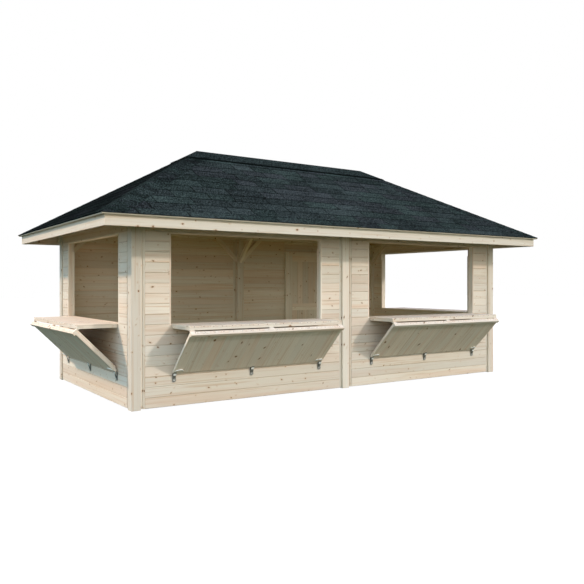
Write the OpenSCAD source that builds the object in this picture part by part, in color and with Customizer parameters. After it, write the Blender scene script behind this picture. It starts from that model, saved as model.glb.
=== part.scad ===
// Wooden market stall: six posts, boarded bays, folding serving hatches and a hipped shingle roof.
// Lengths are in millimetres. +Z is up, the long serving side faces -Y and the door is in the +Y side.
// A wall is drawn in its own bay: x along the wall, y inwards from the outside faces of the posts.

/* [Post frame] */
// length over the outside faces of the corner posts
stall_length = 6190; // [5600:10:6800]
// depth over the outside faces of the corner posts
stall_depth = 3110; // [2900:10:3500]
// side of the square posts
post_side = 115; // [100:1:130]
// height of the posts, up to the ring beams
post_height = 2230; // [2200:5:2300]
// width of the ring beams and the tie beam
beam_width = 100; // [80:1:110]
// height of the ring beams and the tie beam
beam_height = 150; // [130:5:170]
// reach of a knee brace along its post and along its beam
brace_leg = 405; // [350:5:430]
// thickness of the knee braces
brace_side = 46; // [40:1:48]
// depth of a knee brace, seen from the side
brace_depth = 70; // [50:1:90]

/* [Walls] */
// height of the wall boards above the ground
wall_lift = 12; // [4:1:30]
// thickness of the wall boards
board_thick = 28; // [20:1:30]
// distance of the wall boards behind the outside of the posts
board_recess = 8; // [6:1:12]
// width of the stile that closes each end of a wall
stile_width = 20; // [16:1:30]
// width of the shadow gap between a stile and its post
stile_gap = 32; // [24:1:36]
// distance of the stile face behind the outside of the posts
stile_recess = 14; // [8:1:18]
// distance from the outside of the posts to the bottom of the shadow gap
gap_bottom = 28; // [24:1:30]

/* [Serving openings] */
// clear width of each serving opening
opening_width = 2178; // [1900:1:2190]
// height of the sill above the ground
opening_sill = 978; // [950:1:1010]
// distance from the top of the posts down to the head of each serving opening
opening_head_drop = 185; // [160:1:230]
// thickness of the boards that line an opening
lining_thick = 20; // [15:1:30]
// depth of the lining boards
lining_depth = 90; // [75:1:100]
// depth of the inner strip of the side linings, which stops short of the head
lining_inner_depth = 45; // [30:1:50]
// distance from the head of the opening down to the top of the inner strip
lining_inner_drop = 120; // [80:1:160]
// thickness of the part of the side linings that runs on above the inner strip
lining_step = 8; // [5:1:12]

/* [Serving hatches] */
// gap between a counter and each side of its opening
hatch_side_gap = 11; // [6:1:30]
// gap between the back edge of a counter and the wall lining
counter_back_gap = 6; // [5:1:12]
// distance that a counter reaches out from the posts
counter_reach = 474; // [470:1:484]
// thickness of a counter, frame and boards together
counter_thick = 50; // [40:1:60]
// thickness of the boards on top of a counter
counter_board = 20; // [15:1:25]
// width of the frame under a counter and behind a flap
hatch_rail = 70; // [50:1:100]
// slope of a flap, measured from upright
flap_angle = 45; // [43:0.5:46]
// length of a flap down its slope
flap_length = 695; // [680:1:700]
// thickness of a flap, frame and boards together
flap_thick = 56; // [52:1:60]
// thickness of the boards on the outside of a flap
flap_board = 32; // [26:1:36]
// distance of the frame behind a flap from the edges of its boards
flap_setback = 25; // [20:1:35]
// thickness of the batten along the top of the outside of a flap
flap_batten_thick = 20; // [12:1:24]
// width of that batten, measured down the slope
flap_batten_width = 42; // [30:1:60]
// distance of the outer top corner of a flap out beyond the counter edge
flap_lead = 43; // [40:1:50]
// distance of the outer top corner of a flap below the underside of the counter
flap_drop = 35; // [32:1:42]
// width of a hinge block between counter and flap
hinge_block_width = 60; // [40:1:90]
// depth of a hinge block where it meets the counter
hinge_block_seat = 34; // [20:1:45]
// distance of the outer hinge blocks from the ends of the counter
hinge_block_inset = 6; // [0:1:60]
// width of a hasp strap
hasp_width = 34; // [20:1:40]
// thickness of a hasp strap and of its wall plate
hasp_thick = 4; // [3:0.5:6]
// length of a hasp strap on the flap
hasp_lap = 12; // [10:1:16]
// distance from the lower edge of the flap down to the foot of the hasp on the wall
hasp_drop = 105; // [80:1:130]
// height of the wall plate of a hasp
hasp_plate_height = 100; // [70:1:110]
// distance of the outer hasps from the ends of the flap
hasp_inset = 6; // [4:1:20]
// radius of the arch of a pull handle
handle_arch = 48; // [35:1:60]
// thickness of the bar of a pull handle
handle_bar = 14; // [10:1:18]
// lean of the arch up the flap, from square to its face
handle_lean = 68; // [60:1:72]
// distance of the handles from the ends of the flap, to the middle of the arch
handle_inset = 66; // [60:1:75]
// distance of the feet of the handles up from the lower edge of the flap
handle_rise = 33; // [30:1:50]

/* [Door] */
// width over the outside of the door frame
door_frame_width = 1090; // [1000:1:1200]
// distance from the top of the posts down to the top of the door frame
door_head_drop = 179; // [170:1:230]
// width of the door frame boards, seen from outside
door_frame_board = 55; // [45:1:80]
// depth of the door frame
door_frame_depth = 90; // [80:1:100]
// height of the threshold
threshold_height = 30; // [20:1:45]
// width of the stop that the door closes against
door_stop = 14; // [10:1:20]
// running gap all round the door leaf
door_gap = 5; // [5:0.5:8]
// thickness of the door leaf
door_thick = 40; // [34:1:44]
// width of the stiles and the top rail of the door leaf
door_rail = 118; // [90:1:130]
// width of the bottom rail of the door leaf
door_bottom_rail = 150; // [100:1:200]
// height of the bottom of the middle rail above the ground
door_mid_rail_height = 956; // [900:1:1000]
// width of the middle rail
door_mid_rail = 124; // [90:1:140]
// thickness of the upright boards in the door
door_board_thick = 18; // [12:1:22]
// radius of the hinge pins
hinge_pin_r = 6; // [4:0.5:8]
// running gap round a hinge pin
hinge_play = 0.1; // [0.05:0.01:0.2]
// radius of a hinge knuckle
knuckle_r = 11; // [9:0.5:14]
// height of a hinge knuckle
knuckle_height = 40; // [30:1:60]
// running gap above and below the knuckle of the door
knuckle_gap = 5; // [5:0.5:8]
// length of a strap hinge along the door
strap_length = 420; // [200:5:600]
// width of a strap hinge
strap_width = 36; // [30:1:50]
// thickness of a strap hinge
strap_thick = 5; // [4:0.5:7]
// distance of the hinges from the top and bottom of the door leaf
hinge_inset = 230; // [150:5:350]
// height of the door handle above the ground
door_handle_height = 1020; // [985:1:1050]
// length of the lever of the door handle
lever_length = 120; // [90:1:140]
// radius of the lever and of its spindle
lever_r = 9; // [7:0.5:11]
// distance of the lever from the door face
lever_reach = 45; // [35:1:55]
// height of the plate behind the lever
plate_height = 210; // [150:1:240]
// width of the plate behind the lever
plate_width = 42; // [34:1:60]
// thickness of the plate behind the lever
plate_thick = 5; // [4:0.5:8]

/* [Roof] */
// slope of all four sides of the roof
roof_pitch = 30; // [27:0.5:32]
// distance from the top of the posts down to the top of the roof boards at the eaves
eave_drop = 36; // [10:1:60]
// reach of the roof edge beyond the posts
eave_reach = 492; // [480:1:560]
// thickness of the roof boards
roof_board_thick = 18; // [15:1:22]
// thickness of the shingle layer
shingle_thick = 5; // [3:0.5:8]
// thickness of the strips over the hips
hip_cap_thick = 4; // [3:0.5:6]
// width of the strips over the hips, on each side
hip_cap_width = 195; // [150:1:230]
// thickness of the strip over the ridge
ridge_cap_thick = 12; // [8:0.5:14]
// reach of the strip over the ridge in plan, to each side and past each end of the ridge
ridge_cap_reach = 258; // [200:1:300]
// gap left between neighbouring strips over the hips
cap_gap = 2; // [1:0.5:4]
// reach of the face of the fascia beyond the posts
fascia_reach = 451; // [440:1:470]
// thickness of the fascia boards
fascia_thick = 22; // [18:1:28]
// distance from the top of the posts down to the lower edge of the fascia
fascia_drop = 166; // [145:1:180]
// width of the rafters
rafter_width = 45; // [38:1:60]
// depth of the rafters, measured square to the slope
rafter_depth = 95; // [80:1:110]
// distance between the rafters
rafter_spacing = 600; // [500:10:650]
// width of the hip rafters
hip_rafter_width = 60; // [50:1:70]
// depth of the hip rafters, measured upright
hip_rafter_depth = 150; // [130:1:170]
// width of the ridge beam
ridge_width = 60; // [45:1:80]
// depth of the ridge beam
ridge_depth = 170; // [140:1:200]

/* [Hidden] */
// overrun of every cutting tool past the face that it cuts
over = 10;
// facets of the round pieces
round_facets = 48;
half_length = stall_length / 2;
half_depth = stall_depth / 2;
bay_middle = (stall_length - post_side) / 4;
front_clear = stall_length / 2 - post_side * 3 / 2;
end_clear = stall_depth - 2 * post_side;
post_rows = [-half_depth + post_side / 2, half_depth - post_side / 2];
post_columns = [-half_length + post_side / 2, 0, half_length - post_side / 2];
board_back = board_recess + board_thick;
wall_top = post_height;
opening_top = post_height - opening_head_drop;
opening_height = opening_top - opening_sill;
beam_face = (post_side - beam_width) / 2;
beam_top = post_height + beam_height;
hatch_width = opening_width - 2 * hatch_side_gap;
counter_under = opening_sill - counter_thick;
flap_corner_y = -counter_reach - flap_lead;
flap_corner_z = counter_under - flap_drop;
flap_foot_y = flap_corner_y + flap_length * sin(flap_angle);
flap_foot_z = flap_corner_z - flap_length * cos(flap_angle);
hasp_foot_z = flap_foot_z - hasp_drop;
door_frame_top = post_height - door_head_drop;
door_clear_width = door_frame_width - 2 * door_frame_board;
door_clear_top = door_frame_top - door_frame_board;
door_clear_bottom = wall_lift + threshold_height;
leaf_width = door_clear_width - 2 * door_gap;
leaf_bottom = door_clear_bottom + door_gap;
leaf_top = door_clear_top - door_gap;
door_edge = door_frame_width / 2;
hinge_x = leaf_width / 2 + door_gap / 2;
hinge_y = -strap_thick - knuckle_r;
hinge_heights = [leaf_bottom + hinge_inset, (leaf_bottom + leaf_top) / 2, leaf_top - hinge_inset];
eave_height = post_height - eave_drop;
fascia_bottom = post_height - fascia_drop;
roof_half_length = half_length + eave_reach;
roof_half_depth = half_depth + eave_reach;
ridge_half = roof_half_length - roof_half_depth;
ridge_height = eave_height + roof_half_depth * tan(roof_pitch);
// thicknesses of the roof layers, measured upright
board_drop = roof_board_thick / cos(roof_pitch);
rafter_drop = rafter_depth / cos(roof_pitch);
shingle_rise = shingle_thick / cos(roof_pitch);
hip_cap_rise = hip_cap_thick / cos(roof_pitch);
ridge_cap_rise = ridge_cap_thick / cos(roof_pitch);
hip_shift = hip_rafter_width / 2 * sqrt(2);
fascia_inside_x = half_length + fascia_reach - fascia_thick;
fascia_inside_y = half_depth + fascia_reach - fascia_thick;
long_rafters = floor(half_length / rafter_spacing);
end_rafters = floor(half_depth / rafter_spacing);

// places of the bays

module front_left_bay() { translate([-bay_middle, -half_depth, 0]) children(); }
module front_right_bay() { translate([bay_middle, -half_depth, 0]) children(); }
module left_end_bay() { translate([-half_length, 0, 0]) rotate([0, 0, -90]) children(); }
module right_end_bay() { translate([half_length, 0, 0]) rotate([0, 0, 90]) children(); }
module back_left_bay() { translate([-bay_middle, half_depth, 0]) rotate([0, 0, 180]) children(); }
module back_right_bay() { translate([bay_middle, half_depth, 0]) rotate([0, 0, 180]) children(); }

module front_bays() {
    front_left_bay() children();
    front_right_bay() children();
}

module end_bays() {
    left_end_bay() children();
    right_end_bay() children();
}

module both_sides() {
    children();
    mirror([1, 0, 0]) children();
}

// a profile drawn in y and z, extruded along x about the middle
module along_x(width) {
    translate([-width / 2, 0, 0]) rotate([90, 0, 90]) linear_extrude(width) children();
}

// the post frame

module posts() {
    color("burlywood")
        for (x = post_columns, y = post_rows)
            translate([x - post_side / 2, y - post_side / 2, 0])
                cube([post_side, post_side, post_height]);
}

module beams_long() {
    color("burlywood")
        for (y = post_rows)
            translate([-half_length, y - beam_width / 2, post_height])
                cube([stall_length, beam_width, beam_height]);
}

module beams_cross() {
    reach = stall_depth - 2 * (beam_face + beam_width);
    color("burlywood")
        for (x = post_columns)
            translate([x - beam_width / 2, -reach / 2, post_height])
                cube([beam_width, reach, beam_height]);
}

// one brace in the corner between a post face at x = 0 and the beam above it
module brace_shape() {
    cut = brace_depth * sqrt(2);
    foot = post_height - brace_leg;
    rotate([90, 0, 0])
        linear_extrude(brace_side)
            polygon([
                [0, foot], [brace_leg, post_height],
                [brace_leg - cut, post_height], [0, foot + cut]
            ]);
}

module bay_braces(clear) {
    both_sides()
        translate([-clear / 2, board_back + brace_side, 0]) brace_shape();
}

module tie_braces() {
    for (turn = [90, 270])
        rotate([0, 0, turn])
            translate([-half_depth + post_side, brace_side / 2, 0]) brace_shape();
}

module knee_braces() {
    color("burlywood") {
        front_bays() bay_braces(front_clear);
        back_left_bay() bay_braces(front_clear);
        back_right_bay() bay_braces(front_clear);
        end_bays() bay_braces(end_clear);
        tie_braces();
    }
}

// the walls

module wall_boards(from, to) {
    translate([from, board_recess, wall_lift])
        cube([to - from, board_thick, wall_top - wall_lift]);
}

function wall_end(clear) = clear / 2 - stile_gap - stile_width;

module opening_cut() {
    width = opening_width + 2 * lining_thick;
    translate([-width / 2, board_recess - over, opening_sill - lining_thick])
        cube([width, board_thick + 2 * over, opening_height + 2 * lining_thick]);
}

module serving_wall(clear) {
    color("wheat")
        difference() {
            wall_boards(-wall_end(clear), wall_end(clear));
            opening_cut();
        }
}

module wall_front_left() { front_left_bay() serving_wall(front_clear); }
module wall_front_right() { front_right_bay() serving_wall(front_clear); }
module wall_left_end() { left_end_bay() serving_wall(end_clear); }
module wall_right_end() { right_end_bay() serving_wall(end_clear); }

module wall_back_left() {
    color("wheat")
        back_left_bay() wall_boards(-wall_end(front_clear), wall_end(front_clear));
}

module wall_beside_door() {
    color("wheat")
        back_right_bay() wall_boards(door_edge, wall_end(front_clear));
}

module wall_back_corner() {
    color("wheat")
        back_right_bay() wall_boards(-wall_end(front_clear), -door_edge);
}

module wall_over_door() {
    color("wheat")
        back_right_bay()
            translate([-door_edge, board_recess, door_frame_top])
                cube([door_frame_width, board_thick, wall_top - door_frame_top]);
}

module stile_pair(clear) {
    edge = wall_end(clear);
    both_sides()
        translate([0, 0, wall_lift])
            linear_extrude(wall_top - wall_lift)
                polygon([
                    [edge, stile_recess], [edge + stile_width, stile_recess],
                    [edge + stile_width, gap_bottom], [clear / 2, gap_bottom],
                    [clear / 2, board_back], [edge, board_back]
                ]);
}

module wall_stiles() {
    color("wheat") {
        front_bays() stile_pair(front_clear);
        back_left_bay() stile_pair(front_clear);
        back_right_bay() stile_pair(front_clear);
        end_bays() stile_pair(end_clear);
    }
}

// the linings of the serving openings

module lining() {
    width = opening_width + 2 * lining_thick;
    notch_bottom = opening_top - lining_inner_drop;
    notch_depth = lining_inner_depth + over;
    notch_front = board_recess + lining_depth - lining_inner_depth;
    difference() {
        translate([-width / 2, board_recess, opening_sill - lining_thick])
            cube([width, lining_depth, opening_height + 2 * lining_thick]);
        translate([-opening_width / 2, board_recess - over, opening_sill])
            cube([opening_width, lining_depth + 2 * over, opening_height]);
        both_sides()
            translate([opening_width / 2 - over, notch_front, notch_bottom])
                cube([over + lining_thick - lining_step, notch_depth, lining_inner_drop]);
    }
}

module linings_front() { color("burlywood") front_bays() lining(); }
module linings_ends() { color("burlywood") end_bays() lining(); }

// the serving hatches: a counter, propped by the flap that folds back under it

module counter() {
    depth = counter_reach + board_recess - counter_back_gap;
    pocket = [hatch_width - 2 * hatch_rail, depth - 2 * hatch_rail, counter_thick - counter_board + over];
    translate([-hatch_width / 2, -counter_reach, counter_under])
        difference() {
            cube([hatch_width, depth, counter_thick]);
            translate([hatch_rail, hatch_rail, -over]) cube(pocket);
        }
}

module counters_front() { color("wheat") front_bays() counter(); }
module counters_ends() { color("wheat") end_bays() counter(); }

// the sloping plane of a flap: x along the flap, y outwards from its outside face, z down its slope
module flap_plane() {
    translate([0, flap_corner_y, flap_corner_z]) rotate([180 + flap_angle, 0, 0]) children();
}

// boards with a batten along the top outside and a frame behind, which stops short of their edges
module flap() {
    frame_width = hatch_width - 2 * flap_setback;
    frame_length = flap_length - 2 * flap_setback;
    pocket = [frame_width - 2 * hatch_rail, flap_thick - flap_board + over, frame_length - 2 * hatch_rail];
    flap_plane() {
        difference() {
            union() {
                translate([-hatch_width / 2, -flap_board, 0]) cube([hatch_width, flap_board, flap_length]);
                translate([-frame_width / 2, -flap_thick, flap_setback])
                    cube([frame_width, flap_thick, frame_length]);
            }
            translate([hatch_rail - frame_width / 2, -flap_thick - over, flap_setback + hatch_rail])
                cube(pocket);
        }
        translate([-hatch_width / 2, 0, 0])
            cube([hatch_width, flap_batten_thick, flap_batten_width]);
    }
}

module flaps_front() { color("tan") front_bays() flap(); }
module flaps_ends() { color("tan") end_bays() flap(); }

// fills the corner between the counter, the boards of the flap and the frame behind them
module hinge_block() {
    top_y = flap_corner_y + flap_board * cos(flap_angle);
    top_z = flap_corner_z + flap_board * sin(flap_angle);
    corner_y = top_y + flap_setback * sin(flap_angle);
    corner_z = top_z - flap_setback * cos(flap_angle);
    frame_thick = flap_thick - flap_board;
    along_x(hinge_block_width)
        polygon([
            [top_y, top_z],
            [-counter_reach, counter_under], [-counter_reach + hinge_block_seat, counter_under],
            [corner_y + frame_thick * cos(flap_angle), corner_z + frame_thick * sin(flap_angle)],
            [corner_y, corner_z]
        ]);
}

module block_row() {
    outer = (hatch_width - hinge_block_width) / 2 - hinge_block_inset;
    for (x = [-outer, 0, outer]) translate([x, 0, 0]) hinge_block();
}

module hatch_hinge_blocks() {
    color("wheat") {
        front_bays() block_row();
        end_bays() block_row();
    }
}

// a strap from the foot of the flap down to the wall, with a lap on the flap and a plate on the wall
module hasp() {
    flap_plane()
        translate([-hasp_width / 2, 0, flap_length - hasp_lap])
            cube([hasp_width, hasp_thick, hasp_lap]);
    along_x(hasp_width)
        polygon([
            [flap_foot_y, flap_foot_z],
            [flap_foot_y - hasp_thick * cos(flap_angle), flap_foot_z - hasp_thick * sin(flap_angle)],
            [board_recess - hasp_thick, hasp_foot_z], [board_recess, hasp_foot_z],
            [board_recess - hasp_thick, hasp_foot_z + 2 * hasp_thick]
        ]);
    translate([-hasp_width / 2, board_recess - hasp_thick, hasp_foot_z])
        cube([hasp_width, hasp_thick, hasp_plate_height]);
}

module hasp_row() {
    outer = (hatch_width - hasp_width) / 2 - hasp_inset;
    for (x = [-outer, 0, outer]) translate([x, 0, 0]) hasp();
}

module hatch_hasps() {
    color("silver") {
        front_bays() hasp_row();
        end_bays() hasp_row();
    }
}

// an arch that leans up the flap, cut off flat where its feet meet the face
module pull_handle() {
    reach = handle_arch + handle_bar;
    flap_plane()
        translate([0, 0, flap_length - handle_rise])
            difference() {
                rotate([-handle_lean, 0, 0])
                    rotate_extrude($fn = round_facets)
                        translate([handle_arch, 0]) circle(d = handle_bar, $fn = round_facets);
                translate([-reach, -reach, -reach]) cube([2 * reach, reach, 2 * reach]);
            }
}

module handle_pair() {
    both_sides() translate([hatch_width / 2 - handle_inset, 0, 0]) pull_handle();
}

module hatch_handles() {
    color("silver") {
        front_bays() handle_pair();
        end_bays() handle_pair();
    }
}

// the door: its bay is seen from behind, so the hinges are at the +x side of the bay

module door_frame() {
    stop_width = door_clear_width - 2 * door_stop;
    stop_height = door_clear_top - door_stop - door_clear_bottom;
    leaf_zone = door_thick + door_gap;
    color("burlywood")
        back_right_bay()
            difference() {
                translate([-door_edge, 0, wall_lift])
                    cube([door_frame_width, door_frame_depth, door_frame_top - wall_lift]);
                translate([-stop_width / 2, -over, door_clear_bottom])
                    cube([stop_width, door_frame_depth + 2 * over, stop_height]);
                translate([-door_clear_width / 2, -over, door_clear_bottom])
                    cube([door_clear_width, leaf_zone + over, door_clear_top - door_clear_bottom]);
            }
}

module door_leaf() {
    inner_width = leaf_width - 2 * door_rail;
    mid_top = door_mid_rail_height + door_mid_rail;
    lower = leaf_bottom + door_bottom_rail;
    upper = leaf_top - door_rail;
    color("burlywood")
        back_right_bay()
            difference() {
                translate([-leaf_width / 2, 0, leaf_bottom])
                    cube([leaf_width, door_thick, leaf_top - leaf_bottom]);
                translate([-inner_width / 2, -over, lower])
                    cube([inner_width, door_thick + 2 * over, door_mid_rail_height - lower]);
                translate([-inner_width / 2, -over, mid_top])
                    cube([inner_width, door_thick + 2 * over, upper - mid_top]);
            }
}

module door_boards() {
    inner_width = leaf_width - 2 * door_rail;
    mid_top = door_mid_rail_height + door_mid_rail;
    lower = leaf_bottom + door_bottom_rail;
    upper = leaf_top - door_rail;
    color("wheat")
        back_right_bay()
            translate([-inner_width / 2, (door_thick - door_board_thick) / 2, 0]) {
                translate([0, 0, lower])
                    cube([inner_width, door_board_thick, door_mid_rail_height - lower]);
                translate([0, 0, mid_top])
                    cube([inner_width, door_board_thick, upper - mid_top]);
            }
}

// the fixed half of a hinge: a plate on the frame and a post with the pin that the strap turns on
module hinge_pin() {
    pin_height = knuckle_height + 2 * knuckle_gap;
    translate([0, 0, -pin_height / 2 - knuckle_height]) {
        translate([door_clear_width / 2, -strap_thick, 0])
            cube([door_frame_board, strap_thick, knuckle_height]);
        translate([hinge_x, hinge_y, 0]) {
            cube([knuckle_r, knuckle_r, knuckle_height]);
            cylinder(r = knuckle_r, h = knuckle_height, $fn = round_facets);
            cylinder(r = hinge_pin_r, h = knuckle_height + pin_height, $fn = round_facets);
        }
    }
}

module door_hinge_pins() {
    color("dimgray")
        back_right_bay()
            for (z = hinge_heights) translate([0, 0, z]) hinge_pin();
}

// the moving half of a hinge: a long strap on the door with an eye round the pin
module strap_hinge() {
    difference() {
        union() {
            translate([leaf_width / 2 - strap_length, -strap_thick, -strap_width / 2])
                cube([strap_length, strap_thick, strap_width]);
            translate([hinge_x - knuckle_r, hinge_y, -strap_width / 2])
                cube([knuckle_r, knuckle_r, strap_width]);
            translate([hinge_x, hinge_y, -knuckle_height / 2])
                cylinder(r = knuckle_r, h = knuckle_height, $fn = round_facets);
        }
        translate([hinge_x, hinge_y, -knuckle_height])
            cylinder(r = hinge_pin_r + hinge_play, h = 2 * knuckle_height, $fn = round_facets);
    }
}

module door_strap_hinges() {
    color("dimgray")
        back_right_bay()
            for (z = hinge_heights) translate([0, 0, z]) strap_hinge();
}

// one lever on its plate, standing out of the door face at y = 0
module lever() {
    reach = plate_thick + lever_reach;
    translate([-plate_width / 2, -plate_thick, -plate_height / 2])
        cube([plate_width, plate_thick, plate_height]);
    rotate([90, 0, 0]) cylinder(r = lever_r, h = reach, $fn = round_facets);
    translate([0, -reach, 0]) {
        sphere(r = lever_r, $fn = round_facets);
        rotate([0, 90, 0]) cylinder(r = lever_r, h = lever_length, $fn = round_facets);
    }
}

module door_handles() {
    color("dimgray")
        back_right_bay()
            translate([-leaf_width / 2 + door_rail / 2, 0, door_handle_height]) {
                lever();
                translate([0, door_thick, 0]) mirror([0, 1, 0]) lever();
            }
}

// the roof

// the space below the hipped surface of the roof boards, raised by a given height
module below_roof(rise) {
    low = eave_height - rafter_drop - hip_rafter_depth - beam_height;
    translate([0, 0, rise])
        intersection() {
            along_x(2 * roof_half_length)
                polygon([
                    [-roof_half_depth, low], [roof_half_depth, low],
                    [roof_half_depth, eave_height], [0, ridge_height], [-roof_half_depth, eave_height]
                ]);
            rotate([0, 0, 90])
                along_x(2 * roof_half_depth)
                    polygon([
                        [-roof_half_length, low], [roof_half_length, low],
                        [roof_half_length, eave_height], [ridge_half, ridge_height],
                        [-ridge_half, ridge_height], [-roof_half_length, eave_height]
                    ]);
        }
}

module roof_layer(rise, bottom) {
    difference() {
        below_roof(rise);
        below_roof(bottom);
    }
}

// upright prism over a plan
module over_plan(points) {
    linear_extrude(2 * ridge_height) polygon(points);
}

// plan of a long slope, with its sloping sides drawn in by a distance along x
module long_plan(side, in) {
    over_plan([
        [-roof_half_length + in, side * roof_half_depth], [roof_half_length - in, side * roof_half_depth],
        [ridge_half - in, 0], [-ridge_half + in, 0]
    ]);
}

// plan of an end slope, with its sloping sides drawn in by a distance along y
module end_plan(side, in) {
    over_plan([
        [side * roof_half_length, -roof_half_depth + in],
        [side * (ridge_half + in), 0],
        [side * roof_half_length, roof_half_depth - in]
    ]);
}

module roof_boards() { roof_layer(0, -board_drop); }
module shingles() { roof_layer(shingle_rise, 0); }

module roof_boards_front() { color("tan") intersection() { roof_boards(); long_plan(-1, 0); } }
module roof_boards_back() { color("tan") intersection() { roof_boards(); long_plan(1, 0); } }
module roof_boards_left() { color("tan") intersection() { roof_boards(); end_plan(-1, 0); } }
module roof_boards_right() { color("tan") intersection() { roof_boards(); end_plan(1, 0); } }

module shingles_front() { color("darkslategray") intersection() { shingles(); long_plan(-1, 0); } }
module shingles_back() { color("darkslategray") intersection() { shingles(); long_plan(1, 0); } }
module shingles_left() { color("darkslategray") intersection() { shingles(); end_plan(-1, 0); } }
module shingles_right() { color("darkslategray") intersection() { shingles(); end_plan(1, 0); } }

// upright block that reaches a given distance round the ridge
module ridge_block(reach) {
    length = 2 * (ridge_half + reach);
    translate([-length / 2, -reach, 0]) cube([length, 2 * reach, 2 * ridge_height]);
}

module ridge_cap() {
    color("darkslategray")
        intersection() {
            roof_layer(shingle_rise + ridge_cap_rise, shingle_rise);
            ridge_block(ridge_cap_reach);
        }
}

module hip_caps() {
    run = roof_half_depth * sqrt(2);
    color("darkslategray")
        difference() {
            intersection() {
                roof_layer(shingle_rise + hip_cap_rise, shingle_rise);
                union()
                    for (x = [-1, 1], y = [-1, 1])
                        translate([x * roof_half_length, y * roof_half_depth, 0])
                            rotate([0, 0, atan2(-y, -x)])
                                translate([-run, -hip_cap_width, 0])
                                    cube([2 * run, 2 * hip_cap_width, 2 * ridge_height]);
            }
            ridge_block(ridge_cap_reach + cap_gap);
            translate([-roof_half_length, -cap_gap / 2, 0])
                cube([2 * roof_half_length, cap_gap, 2 * ridge_height]);
        }
}

module ridge_beam() {
    top = ridge_height - board_drop;
    color("burlywood")
        intersection() {
            below_roof(-board_drop);
            translate([-ridge_half, -ridge_width / 2, top - ridge_depth])
                cube([2 * ridge_half, ridge_width, ridge_depth]);
        }
}

module hip_rafters(side) {
    run = roof_half_depth * sqrt(2);
    color("burlywood")
        difference() {
            intersection() {
                roof_layer(-board_drop, -board_drop - hip_rafter_depth);
                union()
                    for (x = [-1, 1])
                        translate([x * roof_half_length, side * roof_half_depth, 0])
                            rotate([0, 0, atan2(-side, -x)])
                                translate([0, -hip_rafter_width / 2, 0])
                                    cube([run + hip_rafter_width, hip_rafter_width, 2 * ridge_height]);
                translate([-fascia_inside_x, (side - 1) / 2 * fascia_inside_y, 0])
                    cube([2 * fascia_inside_x, fascia_inside_y, 2 * ridge_height]);
            }
            translate([-roof_half_length, -ridge_width / 2, 0])
                cube([2 * roof_half_length, ridge_width, 2 * ridge_height]);
            beams_long();
            beams_cross();
        }
}

module hip_rafters_front() { hip_rafters(-1); }
module hip_rafters_back() { hip_rafters(1); }

module rafter_row_long() {
    for (k = [-long_rafters : long_rafters])
        translate([k * rafter_spacing - rafter_width / 2, -fascia_inside_y, 0])
            cube([rafter_width, 2 * fascia_inside_y, 2 * ridge_height]);
}

module rafter_row_ends() {
    for (k = [-end_rafters : end_rafters])
        translate([-fascia_inside_x, k * rafter_spacing - rafter_width / 2, 0])
            cube([2 * fascia_inside_x, rafter_width, 2 * ridge_height]);
}

module rafters_long() {
    color("burlywood")
        difference() {
            intersection() {
                roof_layer(-board_drop, -board_drop - rafter_drop);
                rafter_row_long();
                union() {
                    long_plan(-1, hip_shift);
                    long_plan(1, hip_shift);
                }
            }
            translate([-roof_half_length, -ridge_width / 2, 0])
                cube([2 * roof_half_length, ridge_width, 2 * ridge_height]);
            beams_long();
            beams_cross();
        }
}

module rafters_ends() {
    color("burlywood")
        difference() {
            intersection() {
                roof_layer(-board_drop, -board_drop - rafter_drop);
                rafter_row_ends();
                union() {
                    end_plan(-1, hip_shift);
                    end_plan(1, hip_shift);
                    for (side = [0, 1])
                        mirror([side, 0, 0])
                            translate([ridge_half, -rafter_width / 2, 0])
                                cube([roof_half_depth, rafter_width, 2 * ridge_height]);
                }
            }
            beams_long();
            beams_cross();
        }
}

module fascia_long() {
    color("wheat")
        intersection() {
            below_roof(-board_drop);
            for (side = [-1, 1])
                translate([
                    -fascia_inside_x - fascia_thick,
                    side * (fascia_inside_y + fascia_thick / 2) - fascia_thick / 2,
                    fascia_bottom
                ])
                    cube([2 * (fascia_inside_x + fascia_thick), fascia_thick, ridge_height]);
        }
}

module fascia_ends() {
    color("wheat")
        intersection() {
            below_roof(-board_drop);
            for (side = [-1, 1])
                translate([
                    side * (fascia_inside_x + fascia_thick / 2) - fascia_thick / 2,
                    -fascia_inside_y,
                    fascia_bottom
                ])
                    cube([fascia_thick, 2 * fascia_inside_y, ridge_height]);
        }
}

posts();
beams_long();
beams_cross();
knee_braces();
wall_front_left();
wall_front_right();
wall_left_end();
wall_right_end();
wall_back_left();
wall_beside_door();
wall_back_corner();
wall_over_door();
wall_stiles();
linings_front();
linings_ends();
counters_front();
counters_ends();
flaps_front();
flaps_ends();
hatch_hinge_blocks();
hatch_hasps();
hatch_handles();
door_frame();
door_leaf();
door_boards();
door_hinge_pins();
door_strap_hinges();
door_handles();
ridge_beam();
hip_rafters_front();
hip_rafters_back();
rafters_long();
rafters_ends();
roof_boards_front();
roof_boards_back();
roof_boards_left();
roof_boards_right();
shingles_front();
shingles_back();
shingles_left();
shingles_right();
ridge_cap();
hip_caps();
fascia_long();
fascia_ends();
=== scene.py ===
"""Looks of the wooden market stall: its boards, shingles, fittings, finishes, light and camera."""

import math
import random

import bmesh
import bpy
from mathutils import Matrix, Vector


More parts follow.
